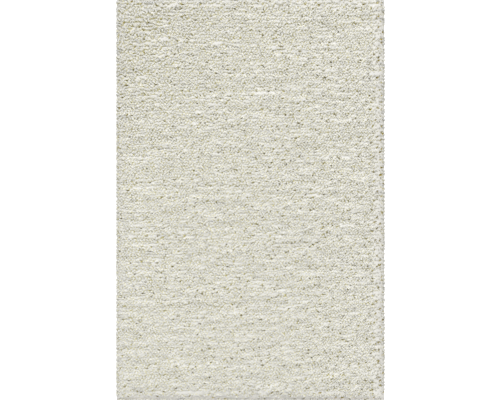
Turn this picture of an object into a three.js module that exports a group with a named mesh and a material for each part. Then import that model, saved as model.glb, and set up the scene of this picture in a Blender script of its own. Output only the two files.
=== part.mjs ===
// A cut length of broadloom carpet, lying flat with its pile up.
//
// Pile yarn is sewn through a backing in close rows and cut, so the carpet is two
// layers: the backing, a stiff flat sheet, and the pile, a deep soft layer that is
// as uneven as yarn that has been rolled up and walked on.
//
// Millimetres. +Z is up, X runs across the width, Y along the length, and the
// origin is the middle of the underside.

import * as THREE from 'three';

// ---------------------------------------------------------------- driving sizes

const WIDTH = 300;              // across the pile, edge to edge
const LENGTH = 450;             // along the pile, edge to edge
const BACKING_THICKNESS = 2.4;  // sewn cloth, glue and the woven cloth under it
const PILE_HEIGHT = 12.8;       // backing to the level of the tips
const SPREAD = 2.5;             // how far the outer tufts lean out past the backing
const LAYER_GAP = 0.3;          // clearance between the two solids

const SHOULDER_WIDTH = 9;       // strip along each edge where the pile falls away
const SHOULDER_DROP = 2.2;      // how far it falls there
const LEAN_SLOPE = 0.6;         // the pile lies lower at the left than at the right
const ACROSS_STEP = 12;         // facets of the top, across the width
const ALONG_STEP = 5;           // facets of the top, along the length
const SHOULDER_LINES = [0, 3, SHOULDER_WIDTH];  // facet lines of the edge strip, from its rim

// The cut edge from the backing up: how far in from the outline, and how high as a
// share of the pile.
const EDGE_PROFILE = [
  { inset: SPREAD, height: 0 },
  { inset: 0.7, height: 0.3 },
  { inset: 0, height: 0.62 },
];
const TOP_INSET = 0.8;          // the top starts this far in from the outline

// Swells and hollows of the pile. x, y: middle; long, short: half lengths of the
// swell; turn: degrees from X towards Y; rise: height of its middle, down if below 0.
const SWELLS = [
  { x: -128, y: 208, long: 26, short: 6, turn: 19, rise: 1.1 },
  { x: -97, y: 199, long: 15, short: 9, turn: -45, rise: -1.3 },
  { x: -139, y: 175, long: 17, short: 8, turn: -60, rise: -1.0 },
  { x: 69, y: 208, long: 60, short: 9, turn: 5, rise: 0.8 },
  { x: 79, y: 184, long: 72, short: 6, turn: 14, rise: -1.0 },
  { x: -43, y: 146, long: 38, short: 6, turn: -3, rise: 0.7 },
  { x: -19, y: 121, long: 40, short: 5, turn: 2, rise: -0.7 },
  { x: 43, y: 96, long: 13, short: 5, turn: 15, rise: 0.6 },
  { x: -117, y: 76, long: 14, short: 8, turn: 25, rise: 1.0 },
  { x: 54, y: 78, long: 11, short: 7, turn: 20, rise: -0.8 },
  { x: -30, y: 62, long: 15, short: 7, turn: 20, rise: 1.0 },
  { x: -123, y: 54, long: 18, short: 5, turn: 10, rise: -0.8 },
  { x: -38, y: 40, long: 13, short: 6, turn: 30, rise: -0.8 },
  { x: 108, y: 28, long: 28, short: 5, turn: -14, rise: -0.8 },
  { x: -137, y: 21, long: 15, short: 6, turn: 0, rise: -1.1 },
  { x: 99, y: 7, long: 23, short: 7, turn: -10, rise: 0.6 },
  { x: -17, y: -17, long: 14, short: 5, turn: 14, rise: 1.2 },
  { x: -30, y: -29, long: 34, short: 6, turn: 4, rise: -1.0 },
  { x: 40, y: -34, long: 18, short: 9, turn: 12, rise: 0.5 },
  { x: 85, y: -47, long: 20, short: 9, turn: 12, rise: 0.6 },
  { x: 147, y: -63, long: 15, short: 6, turn: -5, rise: -1.0 },
  { x: -98, y: -70, long: 29, short: 5, turn: 5, rise: -0.7 },
  { x: 54, y: -87, long: 15, short: 6, turn: 40, rise: -1.0 },
  { x: -5, y: -97, long: 15, short: 5, turn: 5, rise: -0.9 },
  { x: 110, y: -102, long: 22, short: 7, turn: 15, rise: 0.7 },
  { x: 147, y: -120, long: 13, short: 6, turn: 10, rise: -0.9 },
  { x: 36, y: -137, long: 15, short: 8, turn: 0, rise: 0.6 },
  { x: 3, y: -140, long: 17, short: 6, turn: 15, rise: -0.8 },
  { x: 144, y: -163, long: 11, short: 7, turn: 0, rise: -0.8 },
];

// Ripples that run across the whole width, left by rolling the carpet. wave: crest
// to crest along Y; climb: how much a crest climbs in Y for each step in X.
const RIPPLES = [
  { wave: 27, climb: 0.12, shift: 0.8, rise: 0.22 },
  { wave: 19, climb: -0.07, shift: 2.9, rise: 0.16 },
  { wave: 41, climb: 0.21, shift: 4.4, rise: 0.2 },
];

const SURFACES = {
  backing: { color: 0xcfc8b6, roughness: 0.9, metalness: 0 },
  pile: { color: 0xe2e0d2, roughness: 0.95, metalness: 0 },
};

// ---------------------------------------------------------------- the pile's top

function swellRise(swell, x, y) {
  const turn = THREE.MathUtils.degToRad(swell.turn);
  const dx = x - swell.x;
  const dy = y - swell.y;
  const along = (dx * Math.cos(turn) + dy * Math.sin(turn)) / swell.long;
  const across = (dy * Math.cos(turn) - dx * Math.sin(turn)) / swell.short;
  return swell.rise * Math.exp(-along * along - across * across);
}

function rippleRise(ripple, x, y) {
  const phase = (y - ripple.climb * x) / ripple.wave;
  return ripple.rise * Math.sin(2 * Math.PI * phase + ripple.shift);
}

function shoulderFall(x, y) {
  const fromEdge = Math.min(WIDTH / 2 - Math.abs(x), LENGTH / 2 - Math.abs(y));
  const outward = Math.max(0, 1 - fromEdge / SHOULDER_WIDTH);
  return SHOULDER_DROP * outward * outward;
}

function pileTop(x, y) {
  let z = BACKING_THICKNESS + PILE_HEIGHT + LEAN_SLOPE * (x / WIDTH);
  for (const swell of SWELLS) z += swellRise(swell, x, y);
  for (const ripple of RIPPLES) z += rippleRise(ripple, x, y);
  return z - shoulderFall(x, y);
}

// ---------------------------------------------------------------- the two solids

// Facet lines over one side: close together in the edge strips, even between them.
function facetLines(side, step) {
  const half = side / 2 - TOP_INSET;
  const inner = half - SHOULDER_WIDTH;
  const steps = Math.round((2 * inner) / step);
  const low = SHOULDER_LINES.map((inset) => -half + inset);
  const middle = [];
  for (let i = 1; i < steps; i += 1) middle.push(-inner + (2 * inner * i) / steps);
  const high = SHOULDER_LINES.map((inset) => half - inset).reverse();
  return [...low, ...middle, ...high];
}

function makePile() {
  const xs = facetLines(WIDTH, ACROSS_STEP);
  const ys = facetLines(LENGTH, ALONG_STEP);
  const columns = xs.length;
  const rows = ys.length;
  const points = [];
  const faces = [];

  for (const y of ys) {
    for (const x of xs) points.push(x, y, pileTop(x, y));
  }
  const at = (column, row) => row * columns + column;
  for (let row = 0; row < rows - 1; row += 1) {
    for (let column = 0; column < columns - 1; column += 1) {
      const a = at(column, row);
      const b = at(column + 1, row);
      const c = at(column + 1, row + 1);
      const d = at(column, row + 1);
      faces.push(a, b, c, a, c, d);
    }
  }

  // The rim of the top, once round from the low corner, seen from above.
  const rim = [];
  for (let column = 0; column < columns - 1; column += 1) rim.push(at(column, 0));
  for (let row = 0; row < rows - 1; row += 1) rim.push(at(columns - 1, row));
  for (let column = columns - 1; column > 0; column -= 1) rim.push(at(column, rows - 1));
  for (let row = rows - 1; row > 0; row -= 1) rim.push(at(0, row));

  // The cut edge, ring by ring down to the backing.
  const floor = BACKING_THICKNESS + LAYER_GAP;
  let upper = rim;
  for (const level of [...EDGE_PROFILE].reverse()) {
    const acrossScale = (WIDTH / 2 - level.inset) / (WIDTH / 2 - TOP_INSET);
    const alongScale = (LENGTH / 2 - level.inset) / (LENGTH / 2 - TOP_INSET);
    const z = floor + level.height * (PILE_HEIGHT - LAYER_GAP);
    const lower = [];
    for (const corner of rim) {
      lower.push(points.length / 3);
      points.push(points[3 * corner] * acrossScale, points[3 * corner + 1] * alongScale, z);
    }
    for (let i = 0; i < rim.length; i += 1) {
      const next = (i + 1) % rim.length;
      faces.push(upper[i], lower[i], lower[next], upper[i], lower[next], upper[next]);
    }
    upper = lower;
  }

  // The flat underside, a fan from its middle.
  const middle = points.length / 3;
  points.push(0, 0, floor);
  for (let i = 0; i < upper.length; i += 1) {
    faces.push(middle, upper[(i + 1) % upper.length], upper[i]);
  }

  const pile = new THREE.BufferGeometry();
  pile.setAttribute('position', new THREE.Float32BufferAttribute(points, 3));
  pile.setIndex(faces);
  pile.computeVertexNormals();
  return pile;
}

function makeBacking() {
  const sheet = new THREE.BoxGeometry(
    WIDTH - 2 * SPREAD,
    LENGTH - 2 * SPREAD,
    BACKING_THICKNESS,
  );
  sheet.translate(0, 0, BACKING_THICKNESS / 2);
  return sheet;
}

// ---------------------------------------------------------------- the carpet

const carpet = new THREE.Group();

function lay(name, geometry) {
  const mesh = new THREE.Mesh(geometry, new THREE.MeshStandardMaterial(SURFACES[name]));
  mesh.name = name;
  carpet.add(mesh);
}

lay('backing', makeBacking());
lay('pile', makePile());

export default carpet;
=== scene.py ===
"""A cut length of broadloom carpet, lying flat with its pile up.

Off-white yarn is sewn through a cloth in close rows, the loops are cut, and a second
cloth is glued underneath. The script follows that order: the backing, the tufts, the
crimped fibres between their legs, and then the studio that the carpet lies in.
"""

import math

import bpy
import numpy as np
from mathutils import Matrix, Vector
from mathutils.bvhtree import BVHTree


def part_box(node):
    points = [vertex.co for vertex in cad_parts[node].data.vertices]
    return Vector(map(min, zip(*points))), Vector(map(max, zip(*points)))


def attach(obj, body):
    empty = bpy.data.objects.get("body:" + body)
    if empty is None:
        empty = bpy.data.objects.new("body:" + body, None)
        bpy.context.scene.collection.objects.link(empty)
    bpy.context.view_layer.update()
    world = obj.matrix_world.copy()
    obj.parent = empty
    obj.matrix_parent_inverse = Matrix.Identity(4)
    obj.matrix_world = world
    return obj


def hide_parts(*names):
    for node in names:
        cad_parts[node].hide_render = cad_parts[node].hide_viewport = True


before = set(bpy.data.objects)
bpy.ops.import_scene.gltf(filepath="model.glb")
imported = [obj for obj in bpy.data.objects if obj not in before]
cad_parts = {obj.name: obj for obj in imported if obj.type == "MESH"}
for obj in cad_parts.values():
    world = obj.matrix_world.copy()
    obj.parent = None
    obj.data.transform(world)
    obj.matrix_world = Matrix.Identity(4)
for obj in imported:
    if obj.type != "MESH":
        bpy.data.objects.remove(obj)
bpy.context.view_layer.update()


# ---------------------------------------------------------------- the backing
# The cloth that the yarn is sewn through, the glue that locks the stitches, and the
# woven cloth bonded under it. It is one stiff flat sheet, cut with a knife, and the
# layers show as fine lines along the cut edge.

backing_low, backing_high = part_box("backing")
GLUE_FROM = 0.0008  # the glue lies between the two cloths, from here
GLUE_TO = 0.0016  # to here
GLUE_INSET = 0.0003  # the knife drags the glue in a little
GLUE_STEP = 0.0001  # over this height
TAPE_PITCH = 0.0026  # the woven cloth's flat tapes, middle to middle
STRAW = (0.62, 0.55, 0.42, 1)
GLUE_GREY = (0.60, 0.58, 0.52, 1)


def pick_faces(mesh, wanted):
    """Selects the faces of an object in edit mode whose middle and normal suit."""
    bpy.ops.mesh.select_all(action="DESELECT")
    bpy.ops.object.mode_set(mode="OBJECT")
    for face in mesh.polygons:
        face.select = wanted(face.center, face.normal)
    bpy.ops.object.mode_set(mode="EDIT")


def make_backing():
    size = backing_high - backing_low
    bpy.ops.object.select_all(action="DESELECT")
    bpy.ops.mesh.primitive_cube_add(size=1)
    sheet = bpy.context.object
    sheet.name = "backing_sheet"
    sheet.data.name = "backing_sheet"
    bpy.ops.object.mode_set(mode="EDIT")
    bpy.ops.mesh.select_all(action="SELECT")
    bpy.ops.transform.resize(value=size, center_override=(0, 0, 0))
    bpy.ops.transform.translate(value=(backing_low + backing_high) / 2)
    for height in (GLUE_FROM - GLUE_STEP, GLUE_FROM, GLUE_TO, GLUE_TO + GLUE_STEP):
        bpy.ops.mesh.select_all(action="SELECT")
        bpy.ops.mesh.bisect(plane_co=(0, 0, height), plane_no=(0, 0, 1))
    pick_faces(
        sheet.data,
        lambda at, normal: abs(normal.z) < 0.5 and GLUE_FROM < at.z < GLUE_TO,
    )
    bpy.ops.transform.resize(
        value=(1 - 2 * GLUE_INSET / size.x, 1 - 2 * GLUE_INSET / size.y, 1),
        center_override=(0, 0, 0),
    )
    bpy.ops.object.mode_set(mode="OBJECT")
    return sheet


def add_math(nodes, links, operation, first, second=None):
    """A math node fed by a socket and, if there is one, a second socket or number."""
    step = nodes.new("ShaderNodeMath")
    step.operation = operation
    links.new(first, step.inputs[0])
    if isinstance(second, float):
        step.inputs[1].default_value = second
    elif second is not None:
        links.new(second, step.inputs[1])
    return step.outputs["Value"]


def fibre_group():
    """Fine unevenness: a value about 0.5 that other materials scale to their fibres."""
    group = bpy.data.node_groups.new("fibres", "ShaderNodeTree")
    tree = group.interface
    tree.new_socket(name="Vector", in_out="INPUT", socket_type="NodeSocketVector")
    tree.new_socket(name="Scale", in_out="INPUT", socket_type="NodeSocketFloat")
    tree.new_socket(name="Fibre", in_out="OUTPUT", socket_type="NodeSocketFloat")
    nodes = group.nodes
    links = group.links
    start = nodes.new("NodeGroupInput")
    end = nodes.new("NodeGroupOutput")
    noise = nodes.new("ShaderNodeTexNoise")
    noise.inputs["Detail"].default_value = 4
    noise.inputs["Roughness"].default_value = 0.65
    links.new(start.outputs["Vector"], noise.inputs["Vector"])
    links.new(start.outputs["Scale"], noise.inputs["Scale"])
    links.new(noise.outputs["Fac"], end.inputs["Fibre"])
    return group


fibres = fibre_group()


def backing_material():
    cloth = bpy.data.materials.new("backing cloth and glue")
    cloth.use_nodes = True
    nodes = cloth.node_tree.nodes
    links = cloth.node_tree.links
    shader = nodes["Principled BSDF"]
    shader.inputs["Specular IOR Level"].default_value = 0.25

    place = nodes.new("ShaderNodeTexCoord")
    split = nodes.new("ShaderNodeSeparateXYZ")
    links.new(place.outputs["Object"], split.inputs["Vector"])
    turn = math.pi / TAPE_PITCH
    warp = add_math(nodes, links, "MULTIPLY", split.outputs["X"], turn)
    warp = add_math(nodes, links, "SINE", warp)
    warp = add_math(nodes, links, "ABSOLUTE", warp)
    weft = add_math(nodes, links, "MULTIPLY", split.outputs["Y"], turn)
    weft = add_math(nodes, links, "SINE", weft)
    weft = add_math(nodes, links, "ABSOLUTE", weft)
    over = nodes.new("ShaderNodeTexChecker")
    over.inputs["Scale"].default_value = 1 / TAPE_PITCH
    links.new(place.outputs["Object"], over.inputs["Vector"])
    tape = nodes.new("ShaderNodeMix")
    links.new(over.outputs["Fac"], tape.inputs["Factor"])
    links.new(warp, tape.inputs["A"])
    links.new(weft, tape.inputs["B"])

    fibre = nodes.new("ShaderNodeGroup")
    fibre.node_tree = fibres
    fibre.inputs["Scale"].default_value = 900
    links.new(place.outputs["Object"], fibre.inputs["Vector"])

    above = add_math(nodes, links, "GREATER_THAN", split.outputs["Z"], GLUE_FROM)
    below = add_math(nodes, links, "LESS_THAN", split.outputs["Z"], GLUE_TO)
    layer = add_math(nodes, links, "MULTIPLY", above, below)
    gap = add_math(nodes, links, "LESS_THAN", tape.outputs["Result"], 0.3)
    glue = add_math(nodes, links, "MAXIMUM", layer, gap)
    colour = nodes.new("ShaderNodeMix")
    colour.data_type = "RGBA"
    colour.inputs["A"].default_value = STRAW
    colour.inputs["B"].default_value = GLUE_GREY
    links.new(glue, colour.inputs["Factor"])
    worn = nodes.new("ShaderNodeHueSaturation")
    shade = nodes.new("ShaderNodeMapRange")
    shade.inputs["To Min"].default_value = 0.85
    shade.inputs["To Max"].default_value = 1.1
    links.new(fibre.outputs["Fibre"], shade.inputs["Value"])
    links.new(shade.outputs["Result"], worn.inputs["Value"])
    links.new(colour.outputs["Result"], worn.inputs["Color"])
    links.new(worn.outputs["Color"], shader.inputs["Base Color"])

    rough = nodes.new("ShaderNodeMapRange")
    rough.inputs["To Min"].default_value = 0.55
    rough.inputs["To Max"].default_value = 0.9
    links.new(fibre.outputs["Fibre"], rough.inputs["Value"])
    links.new(rough.outputs["Result"], shader.inputs["Roughness"])
    relief = add_math(nodes, links, "ADD", tape.outputs["Result"], fibre.outputs["Fibre"])
    bump = nodes.new("ShaderNodeBump")
    bump.inputs["Strength"].default_value = 0.6
    bump.inputs["Distance"].default_value = 0.0002
    links.new(relief, bump.inputs["Height"])
    links.new(bump.outputs["Normal"], shader.inputs["Normal"])
    return cloth


backing_sheet = make_backing()
backing_sheet.data.materials.append(backing_material())
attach(backing_sheet, "root")
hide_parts("backing")


# ---------------------------------------------------------------- the tufts
# Off-white yarn of three plies, sewn in rows that run across the carpet. Each stitch
# leaves two cut legs that stand in the backing, bend over where the carpet was rolled,
# and let their plies go at the tips.

ROW_PITCH = 0.00421  # needle to needle, along the length
STITCH_PITCH = 0.0034  # stitch to stitch, across the width
LEG_GAP = 0.0017  # between the two legs of a stitch
ROOT_INSET = 0.0006  # the outer stitches, in from the backing's edge
STITCH_JITTER = 0.0002  # how unevenly the legs stand along a row
ROW_JITTER = 0.0004  # and off it
PLIES = 3
PLY_RADIUS = 0.00056
PLY_APART = 0.00040  # from the middle of the leg to the middle of a ply, at the root
PLY_OPEN = 0.0008  # the same at the tip, where the twist lets go
TWIST_TURNS = 0.8  # over the length of a leg
TWIST_UNEVEN = 0.4  # how much that differs from leg to leg
PLY_UNEVEN = 0.15  # how much a ply differs in thickness
PLY_LOOSE = 0.3  # and a leg's plies in how far they are apart
PLY_SLIP = 0.0005  # how unevenly the plies end
LEG_FLAT = 0.6  # how flat a leg is, its depth to its width
LEAN_HEADING = 165  # the way the pile leans, in degrees from +X
HEADING_DRIFT = 0.12  # how far that wanders, in radians
CORNER_TURN = 24  # and how much less it is at the upper left, in degrees
LEAN_REACH = 0.0050  # from root to tip
REACH_FALL = 0.0008  # how much less that is at the right
REACH_DRIFT = 0.05  # how unevenly the pile leans
TUFT_OPEN = 0.0012  # the tips of a stitch's two legs spread this far off the row
COMB = 0.0003  # neighbours part and close by this much
STREAK_RUN = 0.014  # a row is unlike the rows beside it for about this far
ROW_SWAY = 0.0003  # its tips lean away from theirs by this much
YARN_DRIFT = 0.7  # and its dye drifts from theirs, in steps of the yarn's dye
LEAN_JITTER = np.array([0.0002, 0.0006])  # of each tip, along its row and off it
LOOSER = 2.2  # how much more that is at the upper left and in the outer rows
LOOSE_STRIP = 0.022  # which are the ones this near the cut
CROWN_DROP = 0.0009  # the tips, below the top of the pile
CROWN_JITTER = 0.0001
KNEE = 0.86  # how high a leg stands before it bends over
KNEE_LEAN = 0.12  # and how much of its lean it has there
EDGE_STRIP = 0.011  # the tufts this near the cut turn out to its line
EDGE_OVER = 0.0030  # and are cut off there by this much
YARN_EDGE_SHADE = 2.4  # how far painted shade darkens and greys the yarn at the cut, in steps of its dye
EDGE_SHADE_STRIP = 0.018  # and how far in that reaches
EDGE_SHADE_MORE = 0.3  # the right and the lower cut get this much more painted shade
CORNER_SHADE = 0.3  # and the upper left this much painted shade all over
DARK_CORNER_SIZE = (0.10, 0.12)  # across and down from its corner
FLAT_SIZE = (0.07, 0.06)  # the same for where the pile leans less to the side
LOOSE_SIZE = (0.07, 0.09)  # and for where its tips are looser
DYE_STEP = 0.055  # how much one ply differs from the next in brightness
FIBRE_GRAIN = 0.06  # and its fibres among themselves
GREY_FROM = -1.5  # yarn darker than this, in steps of its dye, is greyer too
GREY_LEAST = 0.3  # and the darkest keeps this much of its colour
BANDS = 5  # the rows are kept in this many meshes
RINGS = np.array([0.0, 0.5, 0.82])  # along a ply, root to tip, with its point at 1
GIRTH = np.array([0.70, 1.1, 1.1])  # of the ply at those rings
SIDES = 3
CELL_MARGIN = 0.08  # round each ply in its cell of the baked map
PILE_RIM = 0.0009  # its height is read at least this far in from the solid's edge
ABOVE = 0.01  # clear of the pile
OUTER_STRIP = 0.0015  # legs this near the backing's edge show from the side, so they get no painted root shade
# the yarn from root to tip; the darker, yellower colour low down is painted shade
ROOT_SHADE_COLOUR = (0.70, 0.61, 0.03, 1)
LEG_COLOUR = (0.91, 0.888, 0.715, 1)
TIP_COLOUR = (0.95, 0.945, 0.93, 1)

pile_low, pile_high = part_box("pile")
draw = np.random.default_rng(417)


def pile_top(points):
    """The height of the pile over each point, from the solid that the tufts make up."""
    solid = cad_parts["pile"].data
    corners = [v.co for v in solid.vertices]
    faces = [tuple(face.vertices) for face in solid.polygons]
    tree = BVHTree.FromPolygons(corners, faces)
    start = pile_high.z + ABOVE
    down = Vector((0, 0, -1))
    reach_x = pile_high.x - PILE_RIM
    reach_y = pile_high.y - PILE_RIM
    heights = np.empty(len(points))
    for i, (x, y) in enumerate(points):
        x = max(-reach_x, min(reach_x, x))
        y = max(-reach_y, min(reach_y, y))
        hit = tree.ray_cast(Vector((x, y, start)), down)[0]
        heights[i] = hit.z
    return heights


def drift(points, length, width, turn, count=30):
    """A smooth random unevenness about 1 high, in waves of length by width."""
    heading = draw.uniform(0, 2 * math.pi, count)
    pace = draw.normal(1, 0.3, count)
    phase = draw.uniform(0, 2 * math.pi, count)
    along = points[:, 0] * math.cos(turn) + points[:, 1] * math.sin(turn)
    across = points[:, 1] * math.cos(turn) - points[:, 0] * math.sin(turn)
    cycles = np.outer(along, pace * np.cos(heading) / length)
    cycles += np.outer(across, pace * np.sin(heading) / width)
    return np.cos(2 * math.pi * cycles + phase).sum(axis=1) * math.sqrt(2 / count)


def upper_left(points, width, length):
    """1 at the upper left corner, falling to 0 over a width and a length."""
    out = (points[:, 0] - pile_low.x) / width
    down = (points[:, 1] - pile_high.y) / length
    return np.exp(-out * out - down * down)


# a random value for every run of every row, less the mean of the rows beside it
streak_rows = round((pile_high.y - pile_low.y) / ROW_PITCH) + 4
streak_knots = round((pile_high.x - pile_low.x) / STREAK_RUN) + 4
run_values = draw.normal(0, 1, (streak_rows + 2, streak_knots))
run_values = (run_values[1:-1] - (run_values[:-2] + run_values[2:]) / 2) / math.sqrt(1.5)


def streaks(points):
    """A random unevenness about 1 high that runs along the rows and changes between."""
    up = (points[:, 1] - pile_low.y) / ROW_PITCH + 1
    out = (points[:, 0] - pile_low.x) / STREAK_RUN + 1
    row = np.clip(up.astype(int), 0, streak_rows - 2)
    knot = np.clip(out.astype(int), 0, streak_knots - 2)
    between = np.clip(up - row, 0, 1)
    on = np.clip(out - knot, 0, 1)
    on = on * on * (3 - 2 * on)
    low = run_values[row, knot] * (1 - on) + run_values[row, knot + 1] * on
    high = run_values[row + 1, knot] * (1 - on) + run_values[row + 1, knot + 1] * on
    return low * (1 - between) + high * between


def legs_of_the_rows():
    """Where each leg stands, its row, how many rows there are, and its side of a row."""
    width = backing_high.x - backing_low.x - 2 * ROOT_INSET
    length = backing_high.y - backing_low.y - 2 * ROOT_INSET
    rows = round(length / ROW_PITCH) + 1
    stitches = round(width / STITCH_PITCH) + 1
    along = np.linspace(-length / 2, length / 2, rows)
    across = np.linspace(-width / 2, width / 2, stitches)
    row, stitch, leg = np.meshgrid(np.arange(rows), np.arange(stitches), [-1, 1], indexing="ij")
    start = draw.uniform(-0.5, 0.5, rows) * STITCH_PITCH
    roots = np.stack([across[stitch] + start[row] + leg * LEG_GAP / 2, along[row]], axis=-1)
    roots = roots.reshape(-1, 2)
    roots += draw.normal(0, 1, roots.shape) * [STITCH_JITTER, ROW_JITTER]
    outer_root = np.array([width, length]) / 2
    return np.clip(roots, -outer_root, outer_root), row.ravel(), rows, leg.ravel()


def lean_of(roots, opens):
    """How far each leg leans, across and along, from its root to its tip."""
    side = roots[:, 0] / (pile_high.x - pile_low.x)
    heading = math.radians(LEAN_HEADING) + HEADING_DRIFT * drift(roots, 0.06, 0.03, 0.2)
    heading -= math.radians(CORNER_TURN) * upper_left(roots, *FLAT_SIZE)
    reach = LEAN_REACH - REACH_FALL * side
    reach *= 1 + REACH_DRIFT * drift(roots, 0.06, 0.010, 0.0, 80)
    lean = np.stack([np.cos(heading), np.sin(heading)], axis=1) * reach[:, None]
    lean[:, 1] += opens * TUFT_OPEN + COMB * drift(roots, 0.05, 0.009, 0.0, 80)
    lean[:, 1] += ROW_SWAY * streaks(roots)
    return lean


def near_the_cut(points, axis, strip):
    """1 over the edge of the backing, falling to 0 over a strip beside it."""
    near = 1 - np.clip((backing_high[axis] - np.abs(points[:, axis])) / strip, 0, 1)
    return near * near


def edge_and_corner_shade_at(points):
    """How much painted shade the carpet gets, from about 1 at the cut to 0."""
    across = near_the_cut(points, 0, EDGE_SHADE_STRIP) * (1 + EDGE_SHADE_MORE * np.sign(points[:, 0]))
    along = near_the_cut(points, 1, EDGE_SHADE_STRIP) * (1 - EDGE_SHADE_MORE * np.sign(points[:, 1]))
    return np.maximum(across, along) + CORNER_SHADE * upper_left(points, *DARK_CORNER_SIZE)


def turned_to_the_cut(roots, lean):
    """The lean, turned near the cut so that the outer tufts lie out over its line."""
    turned = lean.copy()
    for axis, other, way in ((0, 1, 1), (1, 0, -1)):
        near = near_the_cut(roots, axis, EDGE_STRIP)
        overhang = pile_high[axis] - backing_high[axis] + EDGE_OVER
        side = np.sign(roots[:, axis])
        length = np.hypot(turned[:, 0], turned[:, 1])
        outward = side * turned[:, axis] * (1 - near) + overhang * near
        rest = np.sqrt(np.maximum(length**2 - outward**2, 0))
        turned[:, axis] = side * outward
        turned[:, other] = turned[:, other] * (1 - near) + way * rest * near
    return turned


def ply_corners(roots, tips, foot, crown):
    """The corners of every ply: three round each ring, and then the point."""
    steps = np.append(RINGS, 1.0)
    girth = np.append(GIRTH, 0.0)
    t = steps[None, :, None]
    lean = tips - roots
    root = np.column_stack([roots, np.full(len(roots), foot)])
    tip = np.column_stack([tips, crown])
    bend = root.copy()
    bend[:, :2] += KNEE_LEAN * lean
    bend[:, 2] += KNEE * (crown - foot)
    line = (1 - t) ** 2 * root[:, None] + 2 * t * (1 - t) * bend[:, None] + t**2 * tip[:, None]
    onward = 2 * (1 - t) * (bend - root)[:, None] + 2 * t * (tip - bend)[:, None]
    onward /= np.linalg.norm(onward, axis=2, keepdims=True)
    level = np.stack([-lean[:, 1], lean[:, 0], np.zeros(len(lean))], axis=1)
    level /= np.linalg.norm(level, axis=1, keepdims=True) + 1e-9
    level = np.broadcast_to(level[:, None], onward.shape)
    upright = np.cross(onward, level)
    legs = len(roots)
    start = draw.uniform(0, 2 * math.pi, (legs, 1))
    turns = TWIST_TURNS * draw.uniform(1 - TWIST_UNEVEN, 1 + TWIST_UNEVEN, (legs, 1))
    corners = np.empty((legs, PLIES, len(RINGS) * SIDES + 1, 3))
    for ply in range(PLIES):
        angle = start + 2 * math.pi * ply / PLIES + 2 * math.pi * turns * steps[None]
        apart = PLY_APART + (PLY_OPEN - PLY_APART) * steps[None] ** 2
        apart = apart * draw.uniform(1 - PLY_LOOSE, 1 + PLY_LOOSE, (legs, 1))
        middle = line + level * (apart * np.cos(angle))[..., None]
        middle += upright * (LEG_FLAT * apart * np.sin(angle))[..., None]
        slip = draw.normal(0, PLY_SLIP, (legs, 1)) * steps[None] ** 2
        middle += onward * slip[..., None]
        radius = PLY_RADIUS * girth[None]
        radius = radius * draw.uniform(1 - PLY_UNEVEN, 1 + PLY_UNEVEN, (legs, 1))
        facing = draw.uniform(0, 2 * math.pi, (legs, 1))
        for side in range(SIDES):
            about = facing + angle + 2 * math.pi * side / SIDES
            over = (radius * np.cos(about))[..., None]
            up = (radius * np.sin(about))[..., None]
            place = middle + level * over + upright * up
            corners[:, ply, side:-1:SIDES] = place[:, :-1]
        corners[:, ply, -1] = middle[:, -1]
    corners[..., 0] = np.clip(corners[..., 0], pile_low.x, pile_high.x)
    corners[..., 1] = np.clip(corners[..., 1], pile_low.y, pile_high.y)
    corners[..., 2] = np.minimum(corners[..., 2], pile_high.z)
    return corners.reshape(legs * PLIES, -1, 3)


def ply_faces(count):
    """The faces round each ply and over its ends, and their place on the yarn."""
    rings = len(RINGS)
    ring, side = np.meshgrid(np.arange(rings - 1), np.arange(SIDES), indexing="ij")
    ring, side = ring.ravel(), side.ravel()
    here = ring * SIDES + side
    beside = ring * SIDES + (side + 1) % SIDES
    walls = np.stack([here, beside, beside + SIDES, here + SIDES], axis=1).ravel()
    turn = np.arange(SIDES)
    last = (rings - 1) * SIDES
    end = np.full(SIDES, rings * SIDES)
    point = np.stack([last + turn, last + (turn + 1) % SIDES, end], axis=1)
    corners = np.concatenate([walls, point.ravel(), turn[::-1]])
    sizes = np.array([4] * len(ring) + [3] * SIDES + [SIDES])
    low, high = RINGS[ring], RINGS[ring + 1]
    left = side / SIDES
    right = left + 1 / SIDES
    around = np.stack([left, right, right, left], axis=1).ravel()
    along = np.stack([low, low, high, high], axis=1).ravel()
    point_around = np.stack([turn, turn + 1, turn + 0.5], axis=1).ravel() / SIDES
    point_along = np.tile([RINGS[-1], RINGS[-1], 1.0], SIDES)
    around = np.concatenate([around, point_around, turn / SIDES])
    along = np.concatenate([along, point_along, np.zeros(SIDES)])
    jump = np.arange(count)[:, None] * (rings * SIDES + 1)
    place = np.broadcast_to(np.stack([around, along], axis=-1), (count, len(around), 2))
    return (corners[None] + jump).ravel(), np.tile(sizes, count), place


def bake_cells(place, count):
    """Each ply's own cell of a square map, so that no two plies share a point of it."""
    cells = math.ceil(math.sqrt(count))
    column = np.arange(count) % cells
    row = np.arange(count) // cells
    inner = CELL_MARGIN + (1 - 2 * CELL_MARGIN) * place
    # the root's end is a small triangle below the walls
    inner[:, -SIDES:] = [[0.1, 0.02], [0.5, 0.06], [0.9, 0.02]]
    return (inner + np.stack([column, row], axis=-1)[:, None]) / cells


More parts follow.
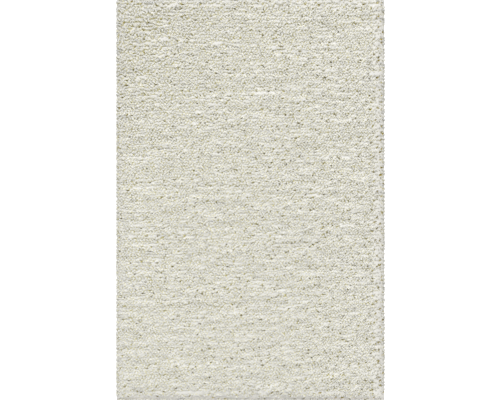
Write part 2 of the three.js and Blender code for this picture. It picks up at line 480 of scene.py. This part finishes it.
def tuft_mesh(name, corners, shade, outer):
    """One band of plies as a single mesh, with its maps and its yarn's dye and painted shade.
    """
    count = len(corners)
    points = corners.reshape(-1, 3)
    around, sizes, place = ply_faces(count)
    mesh = bpy.data.meshes.new(name)
    mesh.vertices.add(len(points))
    mesh.vertices.foreach_set("co", points.astype(np.float32).ravel())
    mesh.loops.add(len(around))
    mesh.loops.foreach_set("vertex_index", around.astype(np.int32))
    mesh.polygons.add(len(sizes))
    starts = np.concatenate([[0], np.cumsum(sizes)[:-1]])
    mesh.polygons.foreach_set("loop_start", starts.astype(np.int32))
    mesh.polygons.foreach_set("use_smooth", np.zeros(len(sizes), dtype=bool))
    yarn_map = mesh.uv_layers.new(name="yarn")
    yarn_map.uv.foreach_set("vector", place.astype(np.float32).ravel())
    bake_map = mesh.uv_layers.new(name="OFBake")
    bake_map.uv.foreach_set("vector", bake_cells(place, count).astype(np.float32).ravel())
    # the yarn's dye together with the painted shade at the cut and the upper left
    dye_and_painted_shade = mesh.attributes.new("dye_and_painted_shade", "FLOAT", "POINT")
    dye_and_painted_shade.data.foreach_set("value", np.repeat(shade, corners.shape[1]).astype(np.float32))
    outermost = mesh.attributes.new("outer", "FLOAT", "POINT")
    outermost.data.foreach_set("value", np.repeat(outer, corners.shape[1]).astype(np.float32))
    mesh.update(calc_edges=True)
    mesh.validate()
    return mesh


def yarn_material():
    yarn = bpy.data.materials.new("pile yarn")
    yarn.use_nodes = True
    nodes = yarn.node_tree.nodes
    links = yarn.node_tree.links
    shader = nodes["Principled BSDF"]
    shader.inputs["Specular IOR Level"].default_value = 0.2
    shader.inputs["Sheen Weight"].default_value = 0.15
    shader.inputs["Sheen Roughness"].default_value = 0.6

    place = nodes.new("ShaderNodeUVMap")
    place.uv_map = "yarn"
    split = nodes.new("ShaderNodeSeparateXYZ")
    links.new(place.outputs["UV"], split.inputs["Vector"])
    # painted shade: the colour darkens and yellows from the tip down to the root, where the
    # pile is in shade
    fade = nodes.new("ShaderNodeValToRGB")
    ramp = fade.color_ramp
    ramp.elements[0].position = 0.46
    ramp.elements[0].color = ROOT_SHADE_COLOUR
    ramp.elements[1].position = 0.9
    ramp.elements[1].color = TIP_COLOUR
    middle = ramp.elements.new(0.72)
    middle.color = LEG_COLOUR
    # the outer legs get none of the painted root shade
    outer = nodes.new("ShaderNodeAttribute")
    outer.attribute_name = "outer"
    least = add_math(nodes, links, "MULTIPLY", outer.outputs["Fac"], middle.position)
    along = add_math(nodes, links, "MAXIMUM", split.outputs["Y"], least)
    links.new(along, fade.inputs["Fac"])

    spot = nodes.new("ShaderNodeTexCoord")
    fibre = nodes.new("ShaderNodeGroup")
    fibre.node_tree = fibres
    fibre.inputs["Scale"].default_value = 2200
    links.new(spot.outputs["Object"], fibre.inputs["Vector"])
    dye_and_painted_shade = nodes.new("ShaderNodeAttribute")
    dye_and_painted_shade.attribute_name = "dye_and_painted_shade"
    spread = add_math(nodes, links, "MULTIPLY", dye_and_painted_shade.outputs["Fac"], DYE_STEP)
    grain = add_math(nodes, links, "MULTIPLY", fibre.outputs["Fibre"], FIBRE_GRAIN)
    amount = add_math(nodes, links, "ADD", spread, grain)
    value = add_math(nodes, links, "ADD", amount, 1 - 0.7 * FIBRE_GRAIN)
    # yarn under the painted shade is greyer as well as darker
    grey = nodes.new("ShaderNodeMapRange")
    grey.inputs["From Min"].default_value = -1.0 - YARN_EDGE_SHADE
    grey.inputs["From Max"].default_value = GREY_FROM
    grey.inputs["To Min"].default_value = GREY_LEAST
    links.new(dye_and_painted_shade.outputs["Fac"], grey.inputs["Value"])
    shade = nodes.new("ShaderNodeHueSaturation")
    links.new(value, shade.inputs["Value"])
    links.new(grey.outputs["Result"], shade.inputs["Saturation"])
    links.new(fade.outputs["Color"], shade.inputs["Color"])
    links.new(shade.outputs["Color"], shader.inputs["Base Color"])

    rough = nodes.new("ShaderNodeMapRange")
    rough.inputs["To Min"].default_value = 0.7
    rough.inputs["To Max"].default_value = 0.95
    links.new(fibre.outputs["Fibre"], rough.inputs["Value"])
    links.new(rough.outputs["Result"], shader.inputs["Roughness"])

    # the fibres wind round the ply, so their ridges cross its map aslant
    slant = nodes.new("ShaderNodeMapping")
    slant.inputs["Scale"].default_value = (9, 2, 1)
    slant.inputs["Rotation"].default_value = (0, 0, 0.9)
    links.new(place.outputs["UV"], slant.inputs["Vector"])
    ridges = nodes.new("ShaderNodeTexWave")
    ridges.inputs["Scale"].default_value = 0.5
    ridges.inputs["Distortion"].default_value = 1.5
    links.new(slant.outputs["Vector"], ridges.inputs["Vector"])
    bump = nodes.new("ShaderNodeBump")
    bump.inputs["Strength"].default_value = 0.3
    bump.inputs["Distance"].default_value = 0.0001
    links.new(ridges.outputs["Fac"], bump.inputs["Height"])
    links.new(bump.outputs["Normal"], shader.inputs["Normal"])
    return yarn


roots, rows_of_legs, row_count, opens = legs_of_the_rows()
loose = np.maximum(near_the_cut(roots, 1, LOOSE_STRIP), upper_left(roots, *LOOSE_SIZE))
jitter = LEAN_JITTER * (1 + LOOSER * loose[:, None])
tips = roots + turned_to_the_cut(roots, lean_of(roots, opens))
tips += draw.normal(0, 1, tips.shape) * jitter
crowns = pile_top(tips) - CROWN_DROP - np.abs(draw.normal(0, CROWN_JITTER, len(tips)))
corners = ply_corners(roots, tips, backing_high.z, crowns)
rows_of_plies = np.repeat(rows_of_legs, PLIES)
# the yarn's dye drifts along the rows, less the painted shade at the cut and the upper left
yarn_shade = YARN_DRIFT * streaks(roots) - YARN_EDGE_SHADE * edge_and_corner_shade_at(roots)
shade = draw.uniform(-1, 1, len(corners)) + np.repeat(yarn_shade, PLIES)
outer = np.abs(roots) > np.array(backing_high[:2]) - OUTER_STRIP
outer = np.repeat(outer.any(axis=1), PLIES)

yarn = yarn_material()
for band in range(BANDS):
    first = band * row_count // BANDS
    last = (band + 1) * row_count // BANDS
    mine = (rows_of_plies >= first) & (rows_of_plies < last)
    name = f"pile_rows_{band + 1}"
    mesh = tuft_mesh(name, corners[mine], shade[mine], outer[mine])
    tufts = bpy.data.objects.new(name, mesh)
    bpy.context.collection.objects.link(tufts)
    tufts.data.materials.append(yarn)
    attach(tufts, "root")
    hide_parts("pile")


# ---------------------------------------------------------------- the lower pile
# The crimped fibres of the legs spread a few millimetres below the tips and meet, so
# that only small dark gaps stay open between the tufts. They are one soft mass, which
# stands a little higher and lower along each row.

BULK_INSET = 0.0003  # in from the cut, at its top
FOOT_INSET = 0.0015  # and in from the backing's edge at its foot, behind the outer legs
BULK_STEP = 0.0017  # from one point of its grid to the next
BULK_DEPTH = 0.0036  # below the top of the pile
BULK_FOLLOWS = 0.8  # how much of the pile's swells it takes
SWELL_LOW = -0.003  # the swells that it takes, below the middle height
SWELL_HIGH = 0.002  # and above it
BULK_UNEVEN = 0.0001
BULK_CORNER = 0.0005  # it lies this much lower at the upper left
BULK_EDGE = 0.0020  # and this much lower at the cut
EDGE_FALL = 0.005  # from this far in
STREAK = 0.0003  # how much higher or lower it stands along each row
GAP_CELL = 4  # one gap at most starts in each square of this many steps
GAP_CHANCE = 1.0  # that it does
GAP_MORE = np.array([1.7, 0.9])  # and how that grows a metre to the right and up
GAP_DEPTH = 0.0033  # of the deepest
GAP_RUN = 0.2  # the chance that it runs on to the next step
GAP_LEAST = 0.4  # the shallowest, as a part of that depth
GAP_SHUT = 0.15  # less open than this, the mass gets no painted shade
MASS_EDGE_SHADE = 0.15  # painted shade darkens it this much at the cut
EDGE_SHADE_TINT = 2.0  # and deepens its colour
MASS_COLOUR = (0.885, 0.88, 0.865, 1)
# the gaps' dark olive colour is painted shade of the deep yarn
GAP_SHADE_COLOUR = (0.32, 0.255, 0.0, 1)
UPWARD = 0.15  # the scale of its grain up the walls, where it is 1 round them
MAP_REACH = 0.46  # of its top on the baked map, from the middle
MAP_WALLS = 1.06  # how much farther the walls reach
MAP_UNDER = 0.003  # and how far the underside does, in its corner


def bulk_heights(points):
    """How high the mass stands over each point, before the gaps."""
    top = pile_top(points)
    middle = np.median(top)
    swell = np.clip(top - middle, SWELL_LOW, SWELL_HIGH)
    heights = middle - BULK_DEPTH + BULK_FOLLOWS * swell + STREAK * streaks(points)
    heights -= BULK_CORNER * upper_left(points, *DARK_CORNER_SIZE)
    for axis in (0, 1):
        left = pile_high[axis] - BULK_INSET - np.abs(points[:, axis])
        heights -= BULK_EDGE * np.clip(1 - left / EDGE_FALL, 0, 1) ** 2
    return heights + draw.normal(0, BULK_UNEVEN, len(points))


def gaps_between(points, columns):
    """How open the mass is at each point of a grid, from 0 to 1."""
    number = np.arange(len(points))
    cell = number % columns // GAP_CELL + number // columns // GAP_CELL * columns
    order = draw.permutation(len(points))
    first_of_cell = order[np.unique(cell[order], return_index=True)[1]]
    chance = GAP_CHANCE * (1 + points @ GAP_MORE)
    is_open = np.zeros(len(points), dtype=bool)
    is_open[first_of_cell] = True
    is_open &= draw.uniform(0, 1, len(points)) < chance
    is_open = is_open.reshape(-1, columns)
    runs_on = draw.uniform(0, 1, (len(is_open), columns - 1)) < GAP_RUN
    is_open[:, 1:] |= is_open[:, :-1] & runs_on
    is_open[[0, -1]] = False
    is_open[:, [0, -1]] = False
    return is_open.ravel() * draw.uniform(GAP_LEAST, 1, len(points))


def make_bulk():
    """A fine grid drawn down to a closed block, with its top raised to the heights."""
    width = pile_high.x - pile_low.x - 2 * BULK_INSET
    length = pile_high.y - pile_low.y - 2 * BULK_INSET
    columns = round(width / BULK_STEP) + 1
    rows = round(length / BULK_STEP) + 1
    bpy.ops.object.select_all(action="DESELECT")
    bpy.ops.mesh.primitive_grid_add(x_subdivisions=columns - 1, y_subdivisions=rows - 1, size=1)
    bulk = bpy.context.object
    bulk.name = "pile_bulk"
    bulk.data.name = "pile_bulk"
    grid_count = len(bulk.data.vertices)
    bpy.ops.object.mode_set(mode="EDIT")
    bpy.ops.mesh.select_all(action="SELECT")
    bpy.ops.transform.resize(value=(width, length, 1), center_override=(0, 0, 0))
    bpy.ops.mesh.region_to_loop()
    bpy.ops.mesh.extrude_edges_move(TRANSFORM_OT_translate={"value": (0, 0, -1)})
    bpy.ops.mesh.edge_face_add()
    bpy.ops.mesh.select_all(action="SELECT")
    bpy.ops.mesh.normals_make_consistent(inside=False)
    bpy.ops.object.mode_set(mode="OBJECT")

    mesh = bulk.data
    corners = np.empty(len(mesh.vertices) * 3, dtype=np.float32)
    mesh.vertices.foreach_get("co", corners)
    corners = corners.reshape(-1, 3)
    points = corners[:grid_count, :2].astype(float)
    gaps = np.zeros(len(corners))
    gaps[:grid_count] = gaps_between(points, columns)
    corners[:grid_count, 2] = bulk_heights(points) - GAP_DEPTH * gaps[:grid_count]
    corners[grid_count:, 0] *= (backing_high.x - FOOT_INSET) / (pile_high.x - BULK_INSET)
    corners[grid_count:, 1] *= (backing_high.y - FOOT_INSET) / (pile_high.y - BULK_INSET)
    corners[grid_count:, 2] = backing_high.z
    mesh.vertices.foreach_set("co", corners.ravel())
    # painted shade at the cut and the upper left, on the mass
    edge_shade = np.zeros(len(corners), dtype=np.float32)
    edge_shade[:grid_count] = edge_and_corner_shade_at(points)
    painted_shade = mesh.attributes.new("painted_shade", "FLOAT", "POINT")
    painted_shade.data.foreach_set("value", edge_shade)
    hollow = mesh.attributes.new("hollow", "FLOAT", "POINT")
    hollow.data.foreach_set("value", gaps.astype(np.float32))
    mesh.update()
    return bulk, grid_count


def bulk_bake_map(bulk, grid_count):
    """The map laid flat, the walls unfolded round it and the underside in a corner."""
    mesh = bulk.data
    corner_of = np.empty(len(mesh.loops), dtype=np.int32)
    mesh.loops.foreach_get("vertex_index", corner_of)
    place = np.empty(len(mesh.vertices) * 3, dtype=np.float32)
    mesh.vertices.foreach_get("co", place)
    place = place.reshape(-1, 3)[corner_of]
    reach = place[:, :2].max(axis=0)
    flat = place[:, :2] / reach
    lower = corner_of >= grid_count
    unfolded = 0.5 + MAP_REACH * flat * np.where(lower, MAP_WALLS, 1)[:, None]
    for face in mesh.polygons:
        if face.normal.z < -0.5 and lower[face.loop_start]:
            under = slice(face.loop_start, face.loop_start + face.loop_total)
            unfolded[under] = 0.005 + MAP_UNDER * flat[under]
    bake_map = mesh.uv_layers.new(name="OFBake")
    bake_map.uv.foreach_set("vector", unfolded.astype(np.float32).ravel())


def bulk_material():
    mass = bpy.data.materials.new("crimped fibres")
    mass.use_nodes = True
    nodes = mass.node_tree.nodes
    links = mass.node_tree.links
    shader = nodes["Principled BSDF"]
    shader.inputs["Specular IOR Level"].default_value = 0.1

    hollow = nodes.new("ShaderNodeAttribute")
    hollow.attribute_name = "hollow"
    place = nodes.new("ShaderNodeTexCoord")
    fibre = nodes.new("ShaderNodeGroup")
    fibre.node_tree = fibres
    fibre.inputs["Scale"].default_value = 1100
    # on the walls the fibres run upward
    upward = nodes.new("ShaderNodeMapping")
    upward.inputs["Scale"].default_value = (1, 1, UPWARD)
    links.new(place.outputs["Object"], upward.inputs["Vector"])
    links.new(upward.outputs["Vector"], fibre.inputs["Vector"])
    # painted shade: the open gaps are coloured dark olive
    colour = nodes.new("ShaderNodeMix")
    colour.data_type = "RGBA"
    colour.inputs["A"].default_value = MASS_COLOUR
    colour.inputs["B"].default_value = GAP_SHADE_COLOUR
    shut = nodes.new("ShaderNodeMapRange")
    shut.inputs["From Min"].default_value = GAP_SHUT
    links.new(hollow.outputs["Fac"], shut.inputs["Value"])
    links.new(shut.outputs["Result"], colour.inputs["Factor"])
    value = nodes.new("ShaderNodeMapRange")
    value.inputs["To Min"].default_value = 0.82
    value.inputs["To Max"].default_value = 1.12
    links.new(fibre.outputs["Fibre"], value.inputs["Value"])
    # painted shade at the cut and the upper left: darker and more saturated
    painted_shade = nodes.new("ShaderNodeAttribute")
    painted_shade.attribute_name = "painted_shade"
    loss = add_math(nodes, links, "MULTIPLY", painted_shade.outputs["Fac"], MASS_EDGE_SHADE)
    kept = add_math(nodes, links, "SUBTRACT", value.outputs["Result"], loss)
    deeper = add_math(nodes, links, "MULTIPLY", painted_shade.outputs["Fac"], EDGE_SHADE_TINT)
    tint = add_math(nodes, links, "ADD", deeper, 1.0)
    shade = nodes.new("ShaderNodeHueSaturation")
    links.new(kept, shade.inputs["Value"])
    links.new(tint, shade.inputs["Saturation"])
    links.new(colour.outputs["Result"], shade.inputs["Color"])
    links.new(shade.outputs["Color"], shader.inputs["Base Color"])

    rough = nodes.new("ShaderNodeMapRange")
    rough.inputs["To Min"].default_value = 0.8
    rough.inputs["To Max"].default_value = 1.0
    links.new(fibre.outputs["Fibre"], rough.inputs["Value"])
    links.new(rough.outputs["Result"], shader.inputs["Roughness"])
    bump = nodes.new("ShaderNodeBump")
    bump.inputs["Strength"].default_value = 0.4
    bump.inputs["Distance"].default_value = 0.0003
    links.new(fibre.outputs["Fibre"], bump.inputs["Height"])
    links.new(bump.outputs["Normal"], shader.inputs["Normal"])
    return mass


pile_bulk, grid_count = make_bulk()
bulk_bake_map(pile_bulk, grid_count)
pile_bulk.data.materials.append(bulk_material())
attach(pile_bulk, "root")
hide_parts("pile")

carpet_size = pile_high - pile_low


# ---------------------------------------------------------------- the studio
# The carpet lies on a white floor under a broad soft lamp, high beyond its upper
# edge, and is seen from straight above.

FLOOR_REACH = 6.0
FLOOR_GLOW = 0.45  # where the floor itself is seen
WORLD_LEVEL = 0.66
LAMP_SIZE = 2.7
LAMP_ENERGY = 155
LAMP_PLACE = (0.55, 2.4, 5.0)
LENS = 110
SENSOR = 36
ASPECT = 500 / 400
FRAME_SHARE = 0.9915  # of the carpet's length that the frame takes in
OUTLINE_DROP = 0.003  # the outermost tufts, below the top of the pile
AIM = (-0.0006, -0.0007)  # the middle of the frame


def floor_material():
    white = bpy.data.materials.new("white floor")
    white.use_nodes = True
    nodes = white.node_tree.nodes
    links = white.node_tree.links
    shader = nodes["Principled BSDF"]
    shader.inputs["Base Color"].default_value = (0.9, 0.9, 0.9, 1)
    shader.inputs["Roughness"].default_value = 0.9
    light_path = nodes.new("ShaderNodeLightPath")
    seen = nodes.new("ShaderNodeMath")
    seen.operation = "MAXIMUM"
    links.new(light_path.outputs["Is Camera Ray"], seen.inputs[0])
    links.new(light_path.outputs["Is Glossy Ray"], seen.inputs[1])
    glow = nodes.new("ShaderNodeMath")
    glow.operation = "MULTIPLY"
    glow.inputs[1].default_value = FLOOR_GLOW
    links.new(seen.outputs["Value"], glow.inputs[0])
    shader.inputs["Emission Color"].default_value = (1, 1, 1, 1)
    links.new(glow.outputs["Value"], shader.inputs["Emission Strength"])
    return white


bpy.ops.object.select_all(action="DESELECT")
bpy.ops.mesh.primitive_plane_add(size=FLOOR_REACH)
floor = bpy.context.object
floor.name = "floor"
floor.data.materials.append(floor_material())

world = bpy.data.worlds.new("studio")
bpy.context.scene.world = world
world.use_nodes = True
world.node_tree.nodes["Background"].inputs["Color"].default_value = (1, 1, 1, 1)
world.node_tree.nodes["Background"].inputs["Strength"].default_value = WORLD_LEVEL

key = bpy.data.lights.new("key", "AREA")
key.shape = "SQUARE"
key.size = LAMP_SIZE
key.energy = LAMP_ENERGY
key_light = bpy.data.objects.new("key", key)
bpy.context.collection.objects.link(key_light)
key_light.location = LAMP_PLACE
key_light.rotation_euler = (-key_light.location).to_track_quat("-Z", "Y").to_euler()

frame_width = carpet_size.y * FRAME_SHARE * ASPECT
camera_data = bpy.data.cameras.new("camera")
camera_data.lens = LENS
camera_data.sensor_width = SENSOR
camera = bpy.data.objects.new("camera", camera_data)
bpy.context.collection.objects.link(camera)
outline_height = pile_high.z - OUTLINE_DROP
camera.location = (*AIM, outline_height + frame_width * LENS / SENSOR)
bpy.context.scene.camera = camera
bpy.context.scene.view_settings.view_transform = "Standard"
